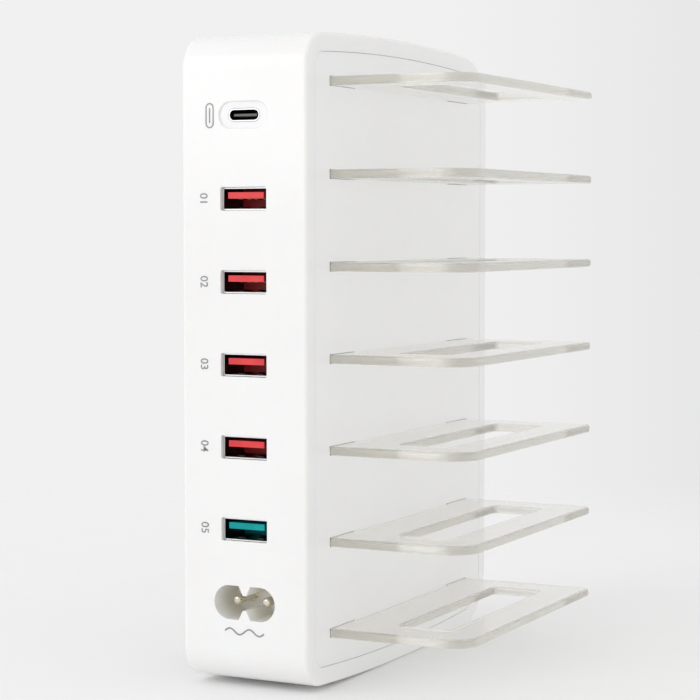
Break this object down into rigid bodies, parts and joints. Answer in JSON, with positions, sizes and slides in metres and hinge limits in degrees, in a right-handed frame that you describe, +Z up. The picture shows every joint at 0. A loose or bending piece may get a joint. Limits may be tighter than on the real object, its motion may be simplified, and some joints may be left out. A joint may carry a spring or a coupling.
{
  "type": "charging station organizer",
  "caption": "Desk charging station: flat white case with a row of charging sockets and a mains inlet on its narrow panel, and a rack of clear windowed dividers that pull out of its broad face.",
  "frame": {"origin": "under the middle of the whole object, on the surface that its lower arched end stands on", "axes": "+Z up the long side of the case, -Y out of the socket panel, +X out of the divider face, -X out of the rubber feet"},
  "size_m": [0.0762, 0.115, 0.1695],
  "materials": {
    "case_white": "gloss moulded white",
    "base_white": "fine matte texture",
    "clear_sheet": "clear acrylic with polished edges",
    "socket_steel": "drawn steel",
    "insert_red": "moulded red insert",
    "insert_green": "moulded green insert",
    "insert_black": "moulded black insert",
    "contact_gold": "plated contact",
    "pin_nickel": "nickel plated",
    "screw_steel": "zinc plated",
    "foot_rubber": "matte rubber",
    "board_green": "coated board",
    "device_black": "moulded device",
    "tape_yellow": "wound tape",
    "ferrite_grey": "sintered ferrite",
    "can_sleeve": "sleeved can",
    "sink_aluminium": "bare sheet",
    "disc_blue": "dipped disc",
    "lead_brown": "insulated lead",
    "lead_blue": "insulated lead",
    "lead_black": "insulated lead",
    "lead_red": "insulated lead"
  },
  "bodies": {
    "case": {"base_plate": "base_white", "bridge_rectifier": "device_black", "bulk_capacitor_1": "can_sleeve", "bulk_capacitor_2": "can_sleeve", "case_screws": "screw_steel", "charge_chips": "device_black", "divider_plate": "case_white", "filter_capacitor": "tape_yellow", "foot_1": "foot_rubber", "foot_2": "foot_rubber", "foot_3": "foot_rubber", "foot_4": "foot_rubber", "fuse": "device_black", "inlet_pin_1": "pin_nickel", "inlet_pin_2": "pin_nickel", "main_board": "board_green", "main_board_screws": "screw_steel", "main_shell": "case_white", "mains_choke": "ferrite_grey", "mains_lead_1": "lead_brown", "mains_lead_2": "lead_blue", "output_capacitor_1": "can_sleeve", "output_capacitor_2": "can_sleeve", "output_choke": "ferrite_grey", "output_heat_sink": "sink_aluminium", "output_lead_1": "lead_black", "output_lead_2": "lead_red", "output_rectifier": "device_black", "oval_port_contacts": "contact_gold", "oval_port_shell": "socket_steel", "oval_port_tongue": "insert_black", "port_board": "board_green", "port_board_screws": "screw_steel", "port_contacts_1": "contact_gold", "port_contacts_2": "contact_gold", "port_contacts_3": "contact_gold", "port_contacts_4": "contact_gold", "port_contacts_5": "contact_gold", "port_shell_1": "socket_steel", "port_shell_2": "socket_steel", "port_shell_3": "socket_steel", "port_shell_4": "socket_steel", "port_shell_5": "socket_steel", "port_tongue_1": "insert_red", "port_tongue_2": "insert_red", "port_tongue_3": "insert_red", "port_tongue_4": "insert_red", "port_tongue_5": "insert_green", "primary_heat_sink": "sink_aluminium", "safety_capacitor": "disc_blue", "switching_transistor": "device_black", "transformer_core": "ferrite_grey", "transformer_winding": "tape_yellow"},
    "divider_1": {"divider_1": "clear_sheet"},
    "divider_2": {"divider_2": "clear_sheet"},
    "divider_3": {"divider_3": "clear_sheet"},
    "divider_4": {"divider_4": "clear_sheet"},
    "divider_5": {"divider_5": "clear_sheet"},
    "divider_6": {"divider_6": "clear_sheet"},
    "divider_7": {"divider_7": "clear_sheet"}
  },
  "joints": [
    {"name": "divider_1_pull", "type": "slide", "parent": "case", "child": "divider_1", "axis": [1, 0, 0], "range_m": [0, 0.01]},
    {"name": "divider_2_pull", "type": "slide", "parent": "case", "child": "divider_2", "axis": [1, 0, 0], "range_m": [0, 0.01]},
    {"name": "divider_3_pull", "type": "slide", "parent": "case", "child": "divider_3", "axis": [1, 0, 0], "range_m": [0, 0.01]},
    {"name": "divider_4_pull", "type": "slide", "parent": "case", "child": "divider_4", "axis": [1, 0, 0], "range_m": [0, 0.01]},
    {"name": "divider_5_pull", "type": "slide", "parent": "case", "child": "divider_5", "axis": [1, 0, 0], "range_m": [0, 0.01]},
    {"name": "divider_6_pull", "type": "slide", "parent": "case", "child": "divider_6", "axis": [1, 0, 0], "range_m": [0, 0.01]},
    {"name": "divider_7_pull", "type": "slide", "parent": "case", "child": "divider_7", "axis": [1, 0, 0], "range_m": [0, 0.01]}
  ]
}
